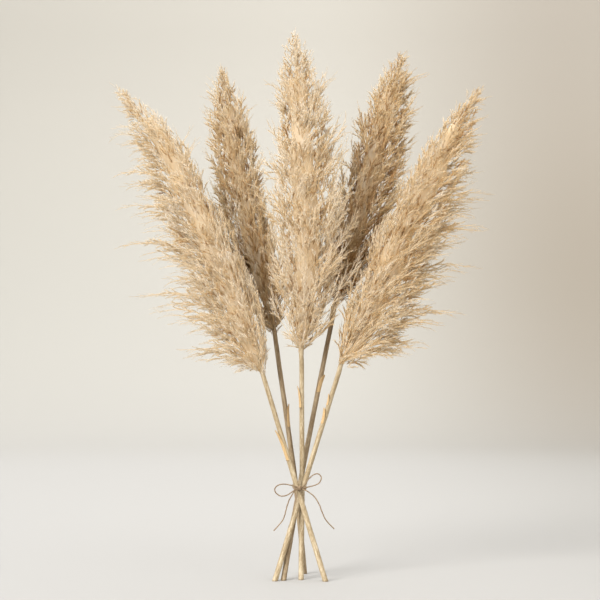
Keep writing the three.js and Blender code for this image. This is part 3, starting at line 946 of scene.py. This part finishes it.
def strandBody(bm, path, tone, radius, s):  # the dense middle of a strand, where its hairs overlap
    points = path[::s["every"]]
    if (len(path) - 1) % s["every"]:
        points.append(path[-1])
    last = len(points) - 1
    radii = [radius * between(s["along"], k / last) for k in range(last + 1)]
    tube = tubeMesh("body", [(points, radii)], s["sides"])
    before = len(bm.faces)
    bm.from_mesh(tube)
    bpy.data.meshes.remove(tube)
    bm.faces.ensure_lookup_table()
    ownMap, bakeMap = bm.loops.layers.uv["UVMap"], bm.loops.layers.uv["OFBake"]
    lowest, highest = s["toneEnds"]
    level = min(max(tone + s["tone"], lowest), highest)
    for loop in loopsOf(bm.faces[before:]):
        along, around = loop[ownMap].uv
        spread = s["mapWidth"] * (around - 0.5)
        # the second map value stays below the tips, so the root shade darkens it: painted shade in the
        # strand's dense middle
        loop[bakeMap].uv = (level + spread, s["mapStart"] + s["mapLength"] * along)


def addTuft(bm, kinds, frame, tone, across, along, rng):
    level = min(max(int(tone * sprayShape["tones"]), 0), sprayShape["tones"] - 1)
    stray = plumeShape["tuftLean"]
    lean = Matrix.Rotation(math.radians(rng.uniform(-stray, stray)), 4, "X")
    spin = Matrix.Rotation(rng.uniform(0, math.tau), 4, "Z")
    placed = rng.choice(kinds)[level].copy()
    placed.transform(frame @ lean @ spin @ Matrix.Diagonal((across, across, along, 1)))
    bm.from_mesh(placed)
    bpy.data.meshes.remove(placed)


coatShape = {
    "leastWidth": 0.3, "reach": 0.58, "sweep": 0.6, "sweepStray": 10, "lean": 60, "bulge": 0.6,
    "foldScale": 30.0, "foldStretch": 0.8, "foldDepth": 0.016, "foldShade": 0.74, "foldMiddle": 0.12,
    "sink": 0.012, "scale": (0.8, 1.1), "tipScale": 0.5, "tipGrow": 1.8, "toneStray": 0.02,
}


def addCoat(bm, spine, s, shape, rng):  # tufts all over the middle, in folds that run outwards and up
    rows, turn = plumeShape["rows"], 0.0
    for row in rng.choices(range(rows), rowWidths(shape["leastWidth"]), k=s["coat"]):
        share = (row + rng.random()) / rows
        turn = nextTurn(s, turn, rng)
        place, ahead, side, back = spineAt(spine, share)
        out = heading(turn, side, back)
        stray = rng.uniform(-shape["sweepStray"], shape["sweepStray"])
        sweep = math.radians(sided(s["sweep"], turn) * shape["sweep"] + stray)
        flow = ahead * math.cos(sweep) + out * math.sin(sweep)
        flow += side * s["flow"] / shape["lean"] * abs(math.sin(turn))
        flow.normalize()
        spot = place + out * halfWidth(s, share, turn) * shape["reach"]
        spot += side * bulge(s, share) * shape["bulge"]
        foldSpot = spot - flow * spot.dot(flow) * shape["foldStretch"]  # so folds run with the flow
        fold = noise.noise(foldSpot * shape["foldScale"])
        spot = spot + out * fold * shape["foldDepth"] - flow * shape["sink"]
        turned = flow.to_track_quat("Z", "Y").to_matrix().to_4x4()
        small = min(1.0, shape["tipScale"] + shape["tipGrow"] * (1 - share))
        scale = rng.uniform(*shape["scale"]) * small
        # painted shade: darker towards the plume's foot and in the sunken folds, paler on the raised ones
        own = s["tone"] - s["low"] * (1 - share) + shape["foldShade"] * (fold - shape["foldMiddle"])
        own += rng.gauss(0, shape["toneStray"])
        addTuft(bm, sprays, Matrix.Translation(spot) @ turned, own, scale, scale, rng)


tuftShape = {
    "bare": 0.52, "spacing": (0.0145, 0.0095), "spacingEase": 1.6, "scale": (0.85, 1.1, 0.72),
    "fullAt": 0.5, "taperFrom": 0.6, "narrow": 0.5, "fineFrom": 0.78,
    "tipPale": 0.30, "paleFrom": 0.78, "tipBrownFrom": 0.84, "toneNoise": 0.16, "noiseScale": 26,
    "toneStray": 0.02,
}


def dress(bm, path, tone, s, rng):  # tufts along a strand, close together towards its end
    frames = framesAlong(path)
    last = len(frames) - 1
    near, far = s["spacing"]
    small, full, tip = s["scale"]
    x = last * s["bare"]
    while x <= last:
        share = x / last
        size = small + (full - small) * min(1, share / s["fullAt"])
        if share > s["taperFrom"]:
            size = full + (tip - full) * (share - s["taperFrom"]) / (1 - s["taperFrom"])
        own = tone + s["tipPale"] * (share - s["paleFrom"]) - max(0, share - s["tipBrownFrom"])
        own += s["toneNoise"] * noise.noise(path[int(x)] * s["noiseScale"])
        own += rng.gauss(0, s["toneStray"])
        kinds = fineSprays if share > s["fineFrom"] else sprays
        addTuft(bm, kinds, frames[int(x)], own, size * (1.0 - s["narrow"] * share * share), size, rng)
        x += (near + (far - near) * min(1, share * s["spacingEase"])) / plumeShape["step"]


heartShape = {
    "size": 0.27, "first": 2, "top": 0.86, "every": 2, "sides": 12, "uneven": 0.35,
    "roundScale": 1.5, "alongScale": 30, "tone": 0.68, "toneUneven": 0.14, "toneScale": 45,
    "mapAlong": 0.1,
}


def plumeHeart(bm, spine, s, shape):  # the crowded middle, where single strands are lost
    points = spine[shape["first"]:int(len(spine) * shape["top"]):shape["every"]]
    sides = shape["sides"]
    rings = []
    for k, frame in enumerate(framesAlong(points)):
        side = depth.cross(frame.to_3x3() @ Vector((0, 0, 1))).normalized()
        share = (shape["every"] * k + shape["first"]) / (len(spine) - 1)
        ring = []
        for j in range(sides):
            turn = math.tau * j / sides
            out = heading(turn, side, depth)
            lump = noise.noise(out * shape["roundScale"] + points[k] * shape["alongScale"])
            width = halfWidth(s, share, turn) * shape["size"] * (1 + shape["uneven"] * lump)
            ring.append(bm.verts.new(points[k] + out * width))
        rings.append(ring)
    faces = [bm.faces.new(reversed(rings[0])), bm.faces.new(rings[-1])]
    for below, above in zip(rings, rings[1:]):
        for j in range(sides):
            n = (j + 1) % sides
            faces.append(bm.faces.new((below[j], below[n], above[n], above[j])))
    bmesh.ops.recalc_face_normals(bm, faces=faces)
    uv = bm.loops.layers.uv["OFBake"]
    for face in faces:
        face.smooth = True
        for loop in face.loops:
            uneven = noise.noise(loop.vert.co * shape["toneScale"])
            tone = shape["tone"] + shape["toneUneven"] * uneven
            # the low second map value takes the darker root shade: painted shade in the crowded middle
            loop[uv].uv = (tone, shape["mapAlong"] + shape["mapAlong"] * uneven)


def buildPlume(name, s):
    rng = random.Random(s["seed"])
    canePoints = [c for c, r in ringsOf("stem_" + name)[plumeShape["caneRings"]:]]
    tip = max((v.co for v in nodes["plume_" + name].data.vertices), key=lambda c: c.z).copy()
    spine = catmullRom(canePoints + [tip], plumeShape["step"])
    strands = lockStrands(spine, s, lockShape, rng) + wispStrands(spine, s, wispShape, rng)
    bm = bmesh.new()
    bm.loops.layers.uv.new("OFBake")
    plumeHeart(bm, spine, s, heartShape)
    for path, tone, radius in strands:
        strandBody(bm, path, tone, radius, bodyShape)
    addCoat(bm, spine, s, coatShape, rng)
    for path, tone, radius in strands:
        dress(bm, path, tone, tuftShape, rng)
    bm.loops.layers.uv.remove(bm.loops.layers.uv["UVMap"])
    mesh = meshFrom("plume", bm)
    # the back plumes take the copy with painted shade
    slot = "plume_tan" if "back" in name else "plume_cream"
    addPiece("feathers_" + name, mesh, plumeMaterials[slot], "plume_" + name)
    mesh.calc_loop_triangles()
    print("plume", name, len(strands), "strands", len(mesh.loop_triangles), "triangles")


for name, s in plumes.items():
    buildPlume(name, s)

studio = {
    "floorRadius": 4.0, "cove": 2.2, "height": 5.5, "coveSteps": 12, "steps": 96, "rough": 0.9,
    "floorEnds": (2.6, 6.3), "sides": (-0.1, 1.6), "rise": (0.6, 2.5),
    # floor, wall and top each hold a paler colour for the left and a darker one for the right: painted
    # light and painted shade; the floor near the middle is paler, as a painted pool of light
    "floor": ((166, 165, 163), (144, 142, 138)), "wall": ((160, 158, 152), (126, 119, 108)),
    "top": ((171, 168, 161), (146, 140, 131)),
}


def paperMaterial(s):  # painted light and shade: paler on the left, darker to the right, and darker from the floor up the wall
    material, tree, shader = newMaterial("paperPaintedLight")
    coords = addNode(tree, "TexCoord", (-1300, 0))
    reach = addNode(tree, "VectorMath", (-1100, 200), operation="LENGTH")
    parts = addNode(tree, "SeparateXYZ", (-1100, -100))
    wire(tree, (coords, "Object", reach, 0), (coords, "Object", parts, "Vector"))
    shares = []
    for source, output, (start, stop) in (
        (reach, "Value", s["floorEnds"]), (parts, "X", s["sides"]), (parts, "Z", s["rise"]),
    ):
        share = addNode(
            tree, "MapRange", (-900, 200 - 250 * len(shares)),
            {"From Min": start, "From Max": stop}, interpolation_type="SMOOTHSTEP",
        )
        wire(tree, (source, output, share, "Value"))
        shares.append(share)
    far, across, high = shares
    tints = []
    for tint in ("floor", "wall", "top"):
        pale, paintedShade = [(*linear(*colour), 1) for colour in s[tint]]
        place = (-650, 200 - 250 * len(tints))
        blend = addNode(tree, "Mix", place, {"A": pale, "B": paintedShade}, data_type="RGBA")
        wire(tree, (across, "Result", blend, "Factor"))
        tints.append(blend)
    floor, wall, top = tints
    upper = addNode(tree, "Mix", (-450, -100), data_type="RGBA")
    paper = addNode(tree, "Mix", (-250, 0), data_type="RGBA")
    wire(
        tree, (high, "Result", upper, "Factor"), (wall, "Result", upper, "A"),
        (top, "Result", upper, "B"), (far, "Result", paper, "Factor"), (floor, "Result", paper, "A"),
        (upper, "Result", paper, "B"), (paper, "Result", shader, "Base Color"),
    )
    shader.inputs["Roughness"].default_value = s["rough"]
    return material


def buildStudio(s):  # a floor that sweeps up into a round wall, so that it lies behind from every side
    reach, cove = s["floorRadius"], s["cove"]
    profile = [(0, 0), (reach, 0)]
    for k in range(1, s["coveSteps"] + 1):
        angle = math.radians(90 / s["coveSteps"] * k)
        profile.append((reach + cove * math.sin(angle), cove * (1 - math.cos(angle))))
    profile.append((reach + cove, s["height"]))
    bm = bmesh.new()
    verts = [bm.verts.new((x, 0, z)) for x, z in profile]
    edges = [bm.edges.new(pair) for pair in zip(verts, verts[1:])]
    bmesh.ops.spin(
        bm, geom=verts + edges, cent=(0, 0, 0), axis=(0, 0, 1), angle=math.tau, steps=s["steps"],
        use_merge=True,
    )
    bmesh.ops.remove_doubles(bm, verts=bm.verts, dist=1e-4)
    bmesh.ops.recalc_face_normals(bm, faces=bm.faces)
    mesh = meshFrom("studio", bm)
    mesh.shade_smooth()
    mesh.materials.append(paperMaterial(s))
    sweep = bpy.data.objects.new("studio_sweep", mesh)
    scene.collection.objects.link(sweep)
    sweep.visible_shadow = False  # the lamps stand outside the round wall


buildStudio(studio)

lightAim = (0, 0, 0.55)
lights = {
    "keyLight": {
        "kind": "SUN", "place": (-2.6, -2.9, 2.7),
        "lamp": {"angle": math.radians(34), "energy": 4.0, "color": (1.0, 0.985, 0.965)},
    },
    "fillLight": {
        "kind": "AREA", "place": (2.8, -2.8, 1.4),
        "lamp": {"size": 2.6, "energy": 40, "color": (1.0, 0.985, 0.97)},
    },
}
skyLight = {"Color": (1.0, 0.995, 0.985, 1), "Strength": 2.1}
for name, s in lights.items():
    lamp = addAimed(name, bpy.data.lights.new(name, s["kind"]), s["place"], lightAim)
    for setting, value in s["lamp"].items():
        setattr(lamp.data, setting, value)

world = bpy.data.worlds.new("studioLight")
scene.world = world
world.use_nodes = True
for setting, value in skyLight.items():
    world.node_tree.nodes["Background"].inputs[setting].default_value = value
print("studio lit")
